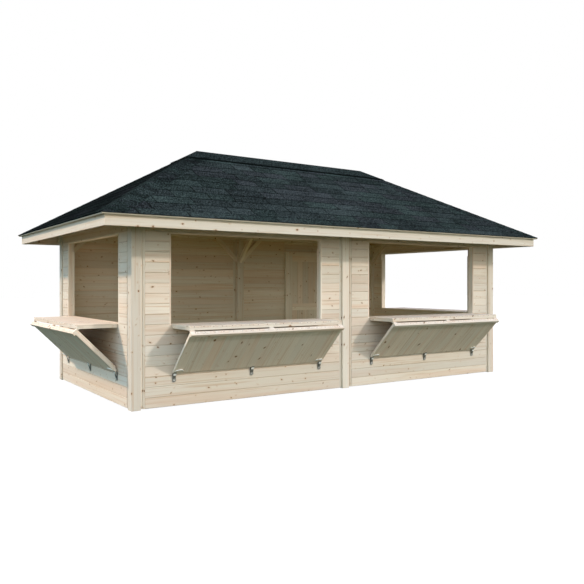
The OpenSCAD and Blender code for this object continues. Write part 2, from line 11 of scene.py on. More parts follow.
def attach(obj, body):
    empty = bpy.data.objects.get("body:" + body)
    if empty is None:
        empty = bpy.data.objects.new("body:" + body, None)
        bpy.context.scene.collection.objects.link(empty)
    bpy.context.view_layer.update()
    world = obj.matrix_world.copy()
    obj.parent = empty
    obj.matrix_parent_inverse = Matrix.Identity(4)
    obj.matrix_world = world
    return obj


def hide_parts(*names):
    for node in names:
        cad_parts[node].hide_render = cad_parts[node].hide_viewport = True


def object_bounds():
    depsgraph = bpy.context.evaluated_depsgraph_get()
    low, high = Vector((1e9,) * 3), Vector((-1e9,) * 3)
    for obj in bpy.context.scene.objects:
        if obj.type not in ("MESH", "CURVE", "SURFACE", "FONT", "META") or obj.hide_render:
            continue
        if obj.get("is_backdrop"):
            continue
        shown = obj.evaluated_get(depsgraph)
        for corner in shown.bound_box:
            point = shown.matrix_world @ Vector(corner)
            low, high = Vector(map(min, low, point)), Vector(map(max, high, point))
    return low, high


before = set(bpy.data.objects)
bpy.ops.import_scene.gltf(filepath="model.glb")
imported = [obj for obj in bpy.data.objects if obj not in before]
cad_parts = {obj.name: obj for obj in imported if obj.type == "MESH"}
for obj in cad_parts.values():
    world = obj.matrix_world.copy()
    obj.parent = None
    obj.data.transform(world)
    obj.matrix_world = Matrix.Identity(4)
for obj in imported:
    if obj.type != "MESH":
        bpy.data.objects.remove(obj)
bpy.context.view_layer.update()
chance = random.Random(31)

# sizes of the stall in metres, as in the frame
HALF_LENGTH, HALF_DEPTH = 3.095, 1.555
BAY_MIDDLE = 1.51875
BOARD = 0.1207
WALL_LOW, WALL_TOP = 0.012, 2.230
WALL_FACE, WALL_BACK = 0.008, 0.036
LONG_WALL_END, SHORT_WALL_END = 1.40925, 1.388
OPENING_HALF, OPENING_SILL, OPENING_HEAD = 1.089, 0.978, 2.045
LINING, LINING_DEPTH = 0.020, 0.090
INNER_STRIP, INNER_DROP, LINING_STEP = 0.045, 0.120, 0.008
HATCH_HALF, COUNTER_REACH, COUNTER_BACK = 1.078, 0.474, 0.002
COUNTER_TOP, COUNTER_UNDER, HATCH_BOARD, HATCH_RAIL = 0.978, 0.928, 0.020, 0.070
FLAP_LENGTH, FLAP_THICK, FLAP_BOARD, FLAP_SETBACK = 0.695, 0.056, 0.032, 0.025
FLAP_SLOPE, FLAP_CORNER = math.radians(45), Vector((0, -0.517, 0.893))
BATTEN_THICK, BATTEN_WIDTH = 0.020, 0.042
DOOR_EDGE, DOOR_FRAME_TOP, DOOR_FRAME_BOARD, DOOR_FRAME_DEPTH = 0.545, 2.051, 0.055, 0.090
DOOR_STOP, DOOR_THICK, DOOR_SEAT = 0.014, 0.040, 0.045
LEAF_HALF, LEAF_LOW, LEAF_TOP = 0.485, 0.047, 1.991
LEAF_RAIL, LEAF_LOW_RAIL, MID_RAIL_LOW, MID_RAIL_TOP = 0.118, 0.150, 0.956, 1.080
ROOF_HALF_LENGTH, ROOF_HALF_DEPTH, EAVE, PITCH = 3.587, 2.047, 2.194, math.radians(30)
RIDGE_REACH, HIP_WIDTH = 0.258, 0.195


def stand(x, y, turn):
    """A bay: x along it, y into the stall from the outside of the posts, z up."""
    return Matrix.Translation((x, y, 0)) @ Matrix.Rotation(math.radians(turn), 4, "Z")


FRONT_LEFT, FRONT_RIGHT = stand(-BAY_MIDDLE, -HALF_DEPTH, 0), stand(BAY_MIDDLE, -HALF_DEPTH, 0)
LEFT_END, RIGHT_END = stand(-HALF_LENGTH, 0, -90), stand(HALF_LENGTH, 0, 90)
BACK_LEFT, DOOR_BAY = stand(-BAY_MIDDLE, HALF_DEPTH, 180), stand(BAY_MIDDLE, HALF_DEPTH, 180)
FLAP_PLANE = Matrix.Translation(FLAP_CORNER) @ Matrix.Rotation(math.pi + FLAP_SLOPE, 4, "X")


class Signal:
    """A value that varies over a surface. Arithmetic on it adds Math nodes to its finish."""

    def __init__(self, finish, socket):
        self.finish, self.socket = finish, socket

    def __add__(self, other):
        return self.finish.math("ADD", self, other)

    def __radd__(self, other):
        return self.finish.math("ADD", other, self)

    def __sub__(self, other):
        return self.finish.math("SUBTRACT", self, other)

    def __rsub__(self, other):
        return self.finish.math("SUBTRACT", other, self)

    def __mul__(self, other):
        return self.finish.math("MULTIPLY", self, other)

    def __rmul__(self, other):
        return self.finish.math("MULTIPLY", other, self)

    def __truediv__(self, other):
        return self.finish.math("DIVIDE", self, other)

    def __pow__(self, other):
        return self.finish.math("POWER", self, other)


class Finish:
    """The nodes of a material or of the sky, all added through one method."""

    def __init__(self, owner):
        owner.use_nodes = True
        self.owner, self.tree = owner, owner.node_tree
        self.tree.nodes.clear()

    def node(self, kind, settings, sockets, *outs):
        node = self.tree.nodes.new(kind)
        for key, value in settings.items():
            setattr(node, key, value)
        for key, value in sockets.items():
            socket = next(s for s in node.inputs if key in (s.identifier, s.name))
            if isinstance(value, Signal):
                self.tree.links.new(value.socket, socket)
            else:
                socket.default_value = value
        picked = [Signal(self, next(s for s in node.outputs if out in (s.identifier, s.name))) for out in outs]
        return picked[0] if len(picked) == 1 else picked

    def math(self, operation, a, b=0.0):
        return self.node("ShaderNodeMath", {"operation": operation}, {"Value": a, "Value_001": b}, "Value")

    def attribute(self, name):
        vector = self.node("ShaderNodeAttribute", {"attribute_name": name}, {}, "Vector")
        return self.node("ShaderNodeSeparateXYZ", {}, {"Vector": vector}, "X", "Y", "Z")

    def vector(self, x, y, z):
        return self.node("ShaderNodeCombineXYZ", {}, {"X": x, "Y": y, "Z": z}, "Vector")

    def noise(self, vector, scale, detail=2.0, roughness=0.5):
        return self.node("ShaderNodeTexNoise", {}, {
            "Vector": vector, "Scale": scale, "Detail": detail, "Roughness": roughness}, "Fac")

    def smooth(self, value, low, high, to_low=0.0, to_high=1.0):
        return self.node("ShaderNodeMapRange", {"interpolation_type": "SMOOTHSTEP"}, {
            "Value": value, "From Min": low, "From Max": high, "To Min": to_low, "To Max": to_high}, "Result")

    def mix(self, factor, a, b, blend="MIX"):
        settings = {"data_type": "RGBA", "blend_type": blend, "clamp_factor": True}
        return self.node("ShaderNodeMix", settings, {"Factor_Float": factor, "A_Color": a, "B_Color": b}, "Result_Color")

    def grey(self, value):
        return self.node("ShaderNodeCombineColor", {}, {"Red": value, "Green": value, "Blue": value}, "Color")

    def bump(self, height, strength, distance):
        return self.node("ShaderNodeBump", {}, {"Height": height, "Strength": strength, "Distance": distance}, "Normal")

    def surface(self, sockets):
        shader = self.node("ShaderNodeBsdfPrincipled", {}, sockets, "BSDF")
        self.node("ShaderNodeOutputMaterial", {}, {"Surface": shader})
        return self.owner


def spruce(name, pale, late, knot_size, knot_rate, spread=1.0):
    """Planed raw spruce: growth rings about a pith, knots that the rings bend round, soft streaks, and painted shade in
    the joints between boards.
    """
    f = Finish(bpy.data.materials.new(name))
    along, across, through = f.attribute("grain")
    tone, hue, joint_shade = f.attribute("tint")
    wander = f.noise(f.vector(along * 1.1, across * 3, 5.0), 1.0) * 0.45
    knot_at = f.vector(along * 0.8 + wander, across + through, 0.0)
    reach, knot_pick = f.node("ShaderNodeTexVoronoi", {"voronoi_dimensions": "2D"}, {
        "Vector": knot_at, "Scale": knot_rate}, "Distance", "Color")
    pick = f.node("ShaderNodeSeparateColor", {}, {"Color": knot_pick}, "Red")
    from_knot = reach / knot_rate + f.noise(f.vector(along * 60, across * 60, through * 60), 1.0) * 0.004 - 0.002
    knot_edge = f.smooth(pick, 0.45, 1.0) * knot_size + 0.0014
    knot = f.smooth(from_knot - knot_edge, 0.0012, -0.0012)
    heart = f.smooth(from_knot - knot_edge * 0.6, 0.0015, -0.0015)
    halo = f.smooth(from_knot - knot_edge, 0.018, 0.0)
    near = f.smooth(from_knot, 0.050, 0.008)
    bend = near * near * 0.010
    lean = f.noise(f.vector(along * 0.45, across * 2, through * 2), 1.0, 2.0) * 0.030
    ripple = f.noise(f.vector(along * 3.5, across * 22, through * 22), 1.0, 2.0) * 0.0024
    radius = f.math("SQRT", across * across + through * through) + lean + ripple + bend
    ring = f.math("FRACT", radius / 0.0046)
    late_wood = f.smooth(ring, 0.30, 0.86) - f.smooth(ring, 0.90, 1.0)
    streak = f.noise(f.vector(along * 0.8, across * 34, through * 34), 1.0, 3.0, 0.6)
    wide = f.noise(f.vector(along * 0.35, across * 7, through * 7), 1.0, 2.0)
    fibre = f.noise(f.vector(along * 9, across * 620, through * 620), 1.0, 2.0)
    colour = f.mix(late_wood * 0.34 + f.smooth(streak, 0.50, 0.70) * 0.74, pale, late)
    colour = f.mix(f.smooth(wide, 0.50, 0.68) * 0.50, colour, (0.73, 0.54, 0.39, 1))
    colour = f.mix(f.smooth(hue, 0.45, 1.0) * (0.40 * spread), colour, (0.760, 0.590, 0.445, 1))
    colour = f.mix(f.smooth(hue, 0.35, 0.0) * (0.35 * spread), colour, (0.80, 0.745, 0.635, 1))
    value = (tone - 0.5) * (0.17 * spread) + fibre * 0.10 + 0.96
    colour = f.mix(1.0, colour, f.grey(value), "MULTIPLY")
    colour = f.mix(halo * 0.34, colour, (0.56, 0.34, 0.16, 1))
    colour = f.mix(knot * 0.92, colour, (0.27, 0.130, 0.046, 1))
    colour = f.mix(heart * 0.6, colour, (0.130, 0.056, 0.018, 1))
    # painted shade: dark brown along the board edges that the tint marks, where the joints between boards lie
    colour = f.mix(joint_shade * f.smooth(wide, 0.30, 0.66, 0.42, 0.86), colour, (0.36, 0.230, 0.110, 1))
    rough = 0.60 + fibre * 0.14 - knot * 0.18
    height = fibre * 0.5 - late_wood * 0.35 - knot * 0.5
    return f.surface({"Base Color": colour, "Roughness": rough, "Normal": f.bump(height, 0.35, 0.0008),
                      "Specular IOR Level": 0.32})


def felt_shingle(name, green, shade):
    """Bitumen shingle with mineral granules: one tone a tab, flecks, worn patches, and painted shade along the tab
    edges and under each next course. shade darkens it all.
    """
    f = Finish(bpy.data.materials.new(name))
    along, up, short_of_side = f.attribute("grain")
    tone, hue, edge = f.attribute("tint")
    place = f.node("ShaderNodeTexCoord", {}, {}, "Object")
    grit = f.node("ShaderNodeTexVoronoi", {"voronoi_dimensions": "3D"}, {"Vector": place, "Scale": 330.0}, "Color")
    granule = f.node("ShaderNodeSeparateColor", {}, {"Color": grit}, "Red")
    fleck = f.noise(f.vector(along * 75, up * 24, 0.0), 1.0, 2.0, 0.65)
    strand = f.noise(f.vector(along * 12, up * 24, 3.0), 1.0, 2.0, 0.6)
    scar = f.noise(f.vector(along * 17 + up * 9, up * 34, 7.0), 1.0, 1.0)
    worn = f.noise(f.vector(along * 3.0, up * 6.0, tone * 9), 1.0, 3.0, 0.6)
    blotch = f.noise(place, 1.7, 3.0, 0.6)
    colour = f.mix(f.smooth(hue, 0.30, 0.45), (0.0206, 0.0282, 0.0275, 1), (0.0204, 0.0302, 0.0280, 1))
    colour = f.mix(f.smooth(hue, 0.62, 0.80), colour, (0.0226, 0.0280, 0.0290, 1))
    colour = f.mix(green, colour, (0.0206, 0.0328, 0.0296, 1))
    value = 1.0 - shade + (tone - 0.5) * 0.50 + (fleck - 0.5) * 6.5 + (strand - 0.5) * 1.0
    value = value + (worn - 0.5) * 0.9 + (blotch - 0.5) * 1.5
    # darker scars, and a painted shadow band near the top of each tab, just under the edge of the course above
    dark = f.smooth(scar, 0.60, 0.72) * 0.45 + f.smooth(up, 0.180, 0.201) * f.smooth(worn, 0.40, 0.62) * 0.25
    # painted shade along the lower edge of each tab and beside its side gaps; pieces marked all dark go near black
    line = 1 - edge * f.smooth(worn, 0.42, 0.62, 0.15, 0.75) - f.math("GREATER_THAN", edge, 1.5)
    line = line - f.smooth(short_of_side, -0.020, -0.010) * f.smooth(worn, 0.40, 0.56) * 0.75
    line = f.math("MAXIMUM", line, 0.18)
    value = f.math("MAXIMUM", value, 0.22) * (1 - dark) * line
    colour = f.mix(1.0, colour, f.grey(value), "MULTIPLY")
    height = granule * 0.6 + fleck * 0.4
    return f.surface({"Base Color": colour, "Roughness": 0.88 + granule * 0.1,
                      "Normal": f.bump(height, 0.5, 0.0012), "Specular IOR Level": 0.0})


def zinc(name, bright, dark, metal):
    """Plated steel with a soft spangle and duller spots."""
    f = Finish(bpy.data.materials.new(name))
    place = f.node("ShaderNodeTexCoord", {}, {}, "Object")
    spangle = f.node("ShaderNodeTexVoronoi", {"voronoi_dimensions": "3D"}, {"Vector": place, "Scale": 90.0}, "Color")
    flake = f.node("ShaderNodeSeparateColor", {}, {"Color": spangle}, "Red")
    dull = f.noise(place, 34.0, 3.0, 0.6)
    colour = f.mix(flake * 0.25, f.mix(dull, bright, dark), bright)
    return f.surface({"Base Color": colour, "Metallic": metal, "Roughness": 0.34 + dull * 0.22,
                      "Normal": f.bump(dull + flake * 0.2, 0.12, 0.0006)})


LATE = (0.640, 0.480, 0.325, 1)
frame_wood = spruce("planed_spruce_frame", (0.752, 0.696, 0.584, 1), LATE, 0.0080, 7.0)
# painted shade: the fascia takes a darker copy of the wood, taking off the extra sky light that falls on it
fascia_wood = spruce("planed_spruce_fascia", (0.690, 0.630, 0.520, 1), (0.570, 0.440, 0.305, 1), 0.0100, 6.0)
lining_wood = spruce("planed_spruce_linings", (0.860, 0.795, 0.665, 1), LATE, 0.0060, 4.0)
wall_wood = spruce("planed_spruce_walls", (0.766, 0.688, 0.565, 1), LATE, 0.0070, 6.2)
hatch_wood = spruce("planed_spruce_hatches", (0.800, 0.718, 0.590, 1), LATE, 0.0150, 4.6, 0.5)
deck_wood = spruce("planed_spruce_deck", (0.770, 0.690, 0.560, 1), LATE, 0.0080, 3.6)
shingle_felt = felt_shingle("shingle_felt", 0.0, 0.0)
cap_felt = felt_shingle("cap_felt", 0.15, 0.30)
zinc_steel = zinc("zinc_steel", (0.66, 0.65, 0.62, 1), (0.46, 0.45, 0.43, 1), 0.25)
# painted light: a paler copy of the plated steel, for the lit hasp clasps and the pull handles
steel_painted_light = zinc("steel_painted_light", (0.88, 0.87, 0.80, 1), (0.74, 0.73, 0.68, 1), 0.10)
# painted shade: a dark copy of the plated steel, for the hasp straps that face down into shade
strap_steel_painted_shade = zinc("strap_steel_painted_shade", (0.20, 0.20, 0.17, 1), (0.13, 0.13, 0.11, 1), 0.15)
nail_steel = zinc("nail_steel", (0.15, 0.125, 0.10, 1), (0.08, 0.065, 0.05, 1), 0.20)


class Piece:
    """One joined piece of the stall, gathered from small closed solids."""

    def __init__(self, name):
        self.name, self.bm = name, bmesh.new()
        self.bm.verts.layers.float_vector.new("grain")
        self.bm.verts.layers.float_vector.new("tint")

    def add(self, bm, *places):
        for place in reversed(places):
            bm.transform(place)
        mesh = bpy.data.meshes.new("solid")
        bm.to_mesh(mesh)
        bm.free()
        self.bm.from_mesh(mesh)
        bpy.data.meshes.remove(mesh)

    def done(self, material, slot, body, *nodes):
        mesh = bpy.data.meshes.new(self.name)
        self.bm.to_mesh(mesh)
        self.bm.free()
        mesh.materials.append(material)
        piece = bpy.data.objects.new(self.name, mesh)
        bpy.context.scene.collection.objects.link(piece)
        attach(piece, body)
        if nodes:
            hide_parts(*nodes)
        return piece


# sizes are in whole tenths of a millimetre, so this keeps their middles away from where rounding could go either way
OFF_THE_ROUNDING_EDGE = 0.000017
# lies square to no timber, so each timber's run has a clear sign along it
FORWARD = Vector((1.0, 0.7, 0.4))


def layers(bm):
    verts = bm.verts.layers.float_vector
    return verts.get("grain") or verts.new("grain"), verts.get("tint") or verts.new("tint")


def cut_from_log():
    """Where in the log a timber was cut: a shift along the grain and the place of the pith beside it."""
    side = chance.choice((-1, 1))
    return Vector((chance.uniform(0, 60), chance.uniform(-0.07, 0.07), side * chance.uniform(0.02, 0.12)))


def board(low, high, grain, across, ease, joint_shades=(0, 0), segments=1):
    """A board between two corners, with its long edges eased. Its joint argument paints shade along its low and high
    long edges, where the joints between boards lie.
    """
    low, high = Vector(low), Vector(high)
    thick = ({0, 1, 2} - {grain, across}).pop()
    size = high - low
    bm = bmesh.new()
    bmesh.ops.create_cube(bm, size=1.0, matrix=Matrix.Diagonal((size[grain], size[across], size[thick], 1)))
    edges = [e for e in bm.edges if abs(e.verts[0].co.x - e.verts[1].co.x) > size[grain] / 2]
    if segments > 1:
        edges = bm.edges[:]
    bmesh.ops.bevel(bm, geom=edges, offset=ease, offset_type="OFFSET", segments=segments, profile=0.5,
                    affect="EDGES", material=-1, clamp_overlap=True)
    grain_layer, tint_layer = layers(bm)
    cut, tone, hue = cut_from_log(), chance.random(), chance.random()
    for v in bm.verts:
        v[grain_layer] = v.co + cut
        edge = joint_shades[v.co.y > 0] if abs(v.co.y) > size[across] / 2 - 1e-5 else 0
        v[tint_layer] = (tone, hue, edge)
    axes = Matrix.Identity(3)
    third = axes[grain].cross(axes[across])
    turn = Matrix((axes[grain], axes[across], third)).transposed().to_4x4()
    bm.transform(Matrix.Translation((low + high) / 2) @ turn)
    return bm


def place_key(verts):
    """The middle of the box round some vertices, rounded so that sorting by it gives the same order each time."""
    axes = zip(*(v.co for v in verts))
    return tuple(round((min(axis) + max(axis)) / 2 + OFF_THE_ROUNDING_EDGE, 4) for axis in axes)


def solids_of(bm):
    """The separate solids of a mesh, each as a list of its vertices, sorted by place."""
    solids, seen = [], set()
    for first in bm.verts:
        if first in seen:
            continue
        seen.add(first)
        found = [first]
        for v in found:
            for e in v.link_edges:
                other = e.other_vert(v)
                if other not in seen:
                    seen.add(other)
                    found.append(other)
        solids.append(found)
    return sorted(solids, key=place_key)


def long_way(verts):
    """The direction of the longest edge of a solid, always taken the same way round."""
    edges = {e for v in verts for e in v.link_edges}
    edge = max(edges, key=lambda e: (round(e.calc_length(), 4), place_key(e.verts)))
    run = (edge.verts[1].co - edge.verts[0].co).normalized()
    return run if run.dot(FORWARD) > 0 else -run


def from_frame(node, ease, segments=2, sharp=25.0):
    """A copy of a node with its facets joined and its edges eased, with grain along each timber."""
    bm = bmesh.new()
    bm.from_mesh(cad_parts[node].data)
    bmesh.ops.remove_doubles(bm, verts=bm.verts, dist=1e-5)
    bmesh.ops.dissolve_limit(bm, angle_limit=math.radians(0.5), verts=bm.verts, edges=bm.edges)
    edges = [e for e in bm.edges if e.is_manifold and e.calc_face_angle() > math.radians(sharp)]
    bmesh.ops.bevel(bm, geom=edges, offset=ease, offset_type="OFFSET", segments=segments, profile=0.5,
                    affect="EDGES", material=-1, clamp_overlap=True)
    bmesh.ops.remove_doubles(bm, verts=bm.verts, dist=1e-5)
    bmesh.ops.dissolve_degenerate(bm, dist=1e-5, edges=bm.edges)
    grain_layer, tint_layer = layers(bm)
    for verts in solids_of(bm):
        run = long_way(verts)
        side = run.cross(Vector((0, 0, 1)) if abs(run.z) < 0.9 else Vector((0, 1, 0))).normalized()
        turn = Matrix((run, side, run.cross(side)))
        middle = sum((v.co for v in verts), Vector()) / len(verts)
        cut, tone, hue = cut_from_log(), chance.random(), chance.random() * 0.7
        for v in verts:
            v[grain_layer] = turn @ (v.co - middle) + cut
            v[tint_layer] = (tone, hue, 0)
    return bm


def from_node(name, nodes, ease, material, slot, body="stall", segments=2):
    piece = Piece(name)
    for node in nodes:
        piece.add(from_frame(node, ease, segments))
    return piece.done(material, slot, body, *nodes)


# the frame of posts, beams and braces, and the timbers under the roof
from_node("stall_posts", ["posts"], 0.004, frame_wood, "frame_wood")
from_node("stall_beams_long", ["beams_long"], 0.003, frame_wood, "frame_wood")
from_node("stall_beams_cross", ["beams_cross"], 0.003, frame_wood, "frame_wood")
# painted light: the braces take the paler lining wood, so they show lighter than the wall behind them
from_node("stall_knee_braces", ["knee_braces"], 0.003, lining_wood, "frame_wood")
from_node("stall_wall_stiles", ["wall_stiles"], 0.0015, frame_wood, "frame_wood")
from_node("roof_ridge_beam", ["ridge_beam"], 0.002, frame_wood, "frame_wood")
from_node("roof_hip_rafters", ["hip_rafters_front", "hip_rafters_back"], 0.002, frame_wood, "frame_wood")
from_node("roof_rafters", ["rafters_long", "rafters_ends"], 0.002, frame_wood, "frame_wood", segments=1)
from_node("roof_fascia", ["fascia_long", "fascia_ends"], 0.0025, fascia_wood, "frame_wood")


def trim(bm, point, normal):
    """Cuts away what lies beyond a plane and closes the cut."""
    cut = bmesh.ops.bisect_plane(bm, geom=bm.verts[:] + bm.edges[:] + bm.faces[:], dist=1e-6,
                                 plane_co=point, plane_no=normal, clear_outer=True)
    edges = [g for g in cut["geom_cut"] if isinstance(g, bmesh.types.BMEdge)]
    if edges:
        bmesh.ops.edgeloop_fill(bm, edges=edges)


# how much of the painted shade in a joint shows inside the stall
INSIDE_JOINT_SHADE = 0.35


def wall(name, node, bay, start, end, low=WALL_LOW, opening=False):
    """Horizontal boards with V joints, cut round a serving opening and its lining."""
    piece = Piece(name)
    side = OPENING_HALF + LINING
    cut_low, cut_high = OPENING_SILL - LINING, OPENING_HEAD + LINING
    row = 0
    while WALL_LOW + row * BOARD < WALL_TOP:
        bottom, top = WALL_LOW + row * BOARD, min(WALL_LOW + (row + 1) * BOARD, WALL_TOP)
        row += 1
        if top <= low:
            continue
        bm = board((start, WALL_FACE, max(bottom, low)), (end, WALL_BACK, top), 0, 2, 0.0048, (1, 1))
        tint_layer = layers(bm)[1]
        for v in bm.verts:
            if v.co.y > (WALL_FACE + WALL_BACK) / 2:
                v[tint_layer].z *= INSIDE_JOINT_SHADE
        if not opening or top <= cut_low or bottom >= cut_high:
            piece.add(bm, bay)
            continue
        for turn in (-1, 1):
            part = bm.copy()
            trim(part, Vector((turn * side, 0, 0)), Vector((-turn, 0, 0)))
            piece.add(part, bay)
        for level, turn in ((cut_low, 1), (cut_high, -1)):
            if bottom < level < top:
                part = bm.copy()
                trim(part, Vector((-side, 0, 0)), Vector((-1, 0, 0)))
                trim(part, Vector((side, 0, 0)), Vector((1, 0, 0)))
                trim(part, Vector((0, 0, level)), Vector((0, 0, turn)))
                piece.add(part, bay)
        bm.free()
    piece.done(wall_wood, "wall_boards", "stall", node)


wall("wall_boards_front_left", "wall_front_left", FRONT_LEFT, -LONG_WALL_END, LONG_WALL_END, opening=True)
wall("wall_boards_front_right", "wall_front_right", FRONT_RIGHT, -LONG_WALL_END, LONG_WALL_END, opening=True)
wall("wall_boards_left_end", "wall_left_end", LEFT_END, -SHORT_WALL_END, SHORT_WALL_END, opening=True)
wall("wall_boards_right_end", "wall_right_end", RIGHT_END, -SHORT_WALL_END, SHORT_WALL_END, opening=True)
wall("wall_boards_back_left", "wall_back_left", BACK_LEFT, -LONG_WALL_END, LONG_WALL_END)
wall("wall_boards_beside_door", "wall_beside_door", DOOR_BAY, DOOR_EDGE, LONG_WALL_END)
wall("wall_boards_back_corner", "wall_back_corner", DOOR_BAY, -LONG_WALL_END, -DOOR_EDGE)
wall("wall_boards_over_door", "wall_over_door", DOOR_BAY, -DOOR_EDGE, DOOR_EDGE, low=DOOR_FRAME_TOP)


def lining(name, node, bays):
    """Boards round a serving opening: sill, head and stepped side boards."""
    piece = Piece(name)
    out, clear = OPENING_HALF + LINING, OPENING_HALF
    front, back = WALL_FACE, WALL_FACE + LINING_DEPTH
    strip_top, strip_face = OPENING_HEAD - INNER_DROP, back - INNER_STRIP
    for bay in bays:
        for low, high in ((OPENING_SILL - LINING, OPENING_SILL), (OPENING_HEAD, OPENING_HEAD + LINING)):
            piece.add(board((-out, front, low), (out, back, high), 0, 1, 0.002, segments=2), bay)
        for side in (-1, 1):
            for near, far, face, rear, low, high in (
                    (clear, out, front, strip_face, OPENING_SILL, OPENING_HEAD),
                    (clear, out, strip_face, back, OPENING_SILL, strip_top),
                    (out - LINING_STEP, out, strip_face, back, strip_top, OPENING_HEAD)):
                left, right = sorted((side * near, side * far))
                piece.add(board((left, face, low), (right, rear, high), 2, 1, 0.0015, segments=2), bay)
    piece.done(lining_wood, "frame_wood", "stall", node)


lining("linings_front_boards", "linings_front", (FRONT_LEFT, FRONT_RIGHT))
lining("linings_end_boards", "linings_ends", (LEFT_END, RIGHT_END))


def row_of_boards(piece, half, low, high, grain, places, count, ease=0.0006, dark=0.15):
    """Boards side by side across a width, low and high without their x; dark sets the painted shade in the joints
    between them.
    """
    step = 2 * half / count
    for i in range(count):
        left = -half + i * step
        piece.add(board((left, *low), (left + step, *high), grain, 0, ease, (dark * (i > 0), dark * (i < count - 1))),
                  *places)


def nail(piece, spot, *places):
    """A flat round nail head, its face towards -y of its place."""
    bm = bmesh.new()
    bmesh.ops.create_cone(bm, cap_ends=True, segments=10, radius1=0.0046, radius2=0.0040, depth=0.0016,
                          matrix=Matrix.Translation(spot) @ Matrix.Rotation(math.pi / 2, 4, "X"))
    layers(bm)
    piece.add(bm, *places)


HATCH_BOARDS = 18


def counters(name, node, bays):
    """Counter boards that run front to back on a frame of rails."""
    piece = Piece(name)
    half, front, back = HATCH_HALF, -COUNTER_REACH, COUNTER_BACK
    seat = COUNTER_TOP - HATCH_BOARD
    for bay in bays:
        row_of_boards(piece, half, (front, seat), (back, COUNTER_TOP), 1, (bay,), HATCH_BOARDS)
        for low, high in ((front, front + HATCH_RAIL), (back - HATCH_RAIL, back)):
            piece.add(board((-half, low, COUNTER_UNDER), (half, high, seat - 0.0006), 0, 1, 0.0025, segments=2), bay)
        for left, right in ((-half, -half + HATCH_RAIL), (half - HATCH_RAIL, half)):
            piece.add(board((left, front + HATCH_RAIL, COUNTER_UNDER), (right, back - HATCH_RAIL, seat - 0.0006),
                            1, 0, 0.0025, segments=2), bay)
    piece.done(hatch_wood, "hatch_wood", "stall", node)


def flaps(name, node, bays):
    """Flap boards down the slope on a frame of rails, with a batten along the top of the outside."""
    piece = Piece(name)
    half, back, face = HATCH_HALF, -FLAP_THICK, -FLAP_BOARD
    edge, upper, lower = half - FLAP_SETBACK, FLAP_SETBACK + HATCH_RAIL, FLAP_LENGTH - FLAP_SETBACK - HATCH_RAIL
    for bay in bays:
        row_of_boards(piece, half, (face, 0), (0, FLAP_LENGTH), 2, (bay, FLAP_PLANE), HATCH_BOARDS)
        for low, high in ((FLAP_SETBACK, upper), (lower, FLAP_LENGTH - FLAP_SETBACK)):
            piece.add(board((-edge, back, low), (edge, face - 0.0006, high), 0, 2, 0.0025, segments=2), bay, FLAP_PLANE)
        for left, right in ((-edge, -edge + HATCH_RAIL), (edge - HATCH_RAIL, edge)):
            piece.add(board((left, back, upper), (right, face - 0.0006, lower), 2, 0, 0.0025, segments=2), bay, FLAP_PLANE)
        piece.add(board((-half, 0, 0), (half, BATTEN_THICK, BATTEN_WIDTH), 0, 2, 0.003, segments=2), bay, FLAP_PLANE)
    piece.done(hatch_wood, "hatch_wood", "stall", node)


FRONT_BAYS, END_BAYS = (FRONT_LEFT, FRONT_RIGHT), (LEFT_END, RIGHT_END)
counters("counter_boards_front", "counters_front", FRONT_BAYS)
counters("counter_boards_ends", "counters_ends", END_BAYS)
flaps("flap_boards_front", "flaps_front", FRONT_BAYS)
flaps("flap_boards_ends", "flaps_ends", END_BAYS)
from_node("hatch_hinge_pads", ["hatch_hinge_blocks"], 0.0025, hatch_wood, "hatch_wood")

# nails through the counter front and the top of each flap
nails = Piece("hatch_nails")
top_of_flap = FLAP_PLANE @ Matrix.Rotation(math.radians(90), 4, "X")
for bay in FRONT_BAYS + END_BAYS:
    for i in range(HATCH_BOARDS):
        x = -HATCH_HALF + (i + 0.5) * 2 * HATCH_HALF / HATCH_BOARDS + chance.uniform(-0.006, 0.006)
        nail(nails, Vector((x, -COUNTER_REACH, COUNTER_TOP - 0.011)), bay)
        nail(nails, Vector((x, 0, 0.014)), bay, top_of_flap)
nails.done(nail_steel, "zinc_steel", "stall")


def bolt(piece, spot, *places):
    """A hexagon bolt head on a washer, its face towards -y of its place."""
    for radius, depth, sides in ((0.0100, 0.0020, 20), (0.0065, 0.0060, 6)):
        bm = bmesh.new()
        middle = Matrix.Translation(spot + Vector((0, -depth / 2, 0)))
        bmesh.ops.create_cone(bm, cap_ends=True, segments=sides, radius1=radius, radius2=radius * 0.94, depth=depth,
                              matrix=middle @ Matrix.Rotation(math.pi / 2, 4, "X"))
        layers(bm)
        piece.add(bm, *places)


def eye(piece, radius, wire, *places):
    """A round eye of bent wire, flat in the x and z of its place."""
    bm = bmesh.new()
    bmesh.ops.create_circle(bm, cap_ends=False, segments=8, radius=wire,
                            matrix=Matrix.Translation((radius, 0, 0)))
    bmesh.ops.spin(bm, geom=bm.verts[:] + bm.edges[:], cent=(0, 0, 0), axis=(0, 0, 1), angle=math.tau, steps=20,
                   use_merge=True)
    layers(bm)
    piece.add(bm, *places)


# a hasp: clasp, strap, and an eye over a bolt at its foot; its place has z up the strap and -y out of it
HASP_FOOT, HASP_HEAD = Vector((0, 0.004, 0.2966)), Vector((0, -0.0284, 0.3988))
HASP_HALF, HASP_THICK, HASP_EASE = 0.017, 0.004, 0.0008
STRAP_LENGTH, STRAP_PROUD, FLAP_LAP, PLATE_TOP = 0.108, 0.0004, 0.012, 0.3966
OUTER_HASP, EYE_UP = 1.055, 0.020
CLASP_HALF, CLASP_LOW, CLASP_TOP, CLASP_OUT = 0.019, 0.080, 0.106, 0.004
hasp_lean = math.atan2(HASP_FOOT.y - HASP_HEAD.y, HASP_HEAD.z - HASP_FOOT.z)
eye_place = Matrix.Translation((0, -0.004, EYE_UP)) @ Matrix.Rotation(math.pi / 2, 4, "X")
straps, eyes, clasps = Piece("hatch_hasp_straps"), Piece("hatch_hasp_eyes"), Piece("hatch_hasp_clasps")
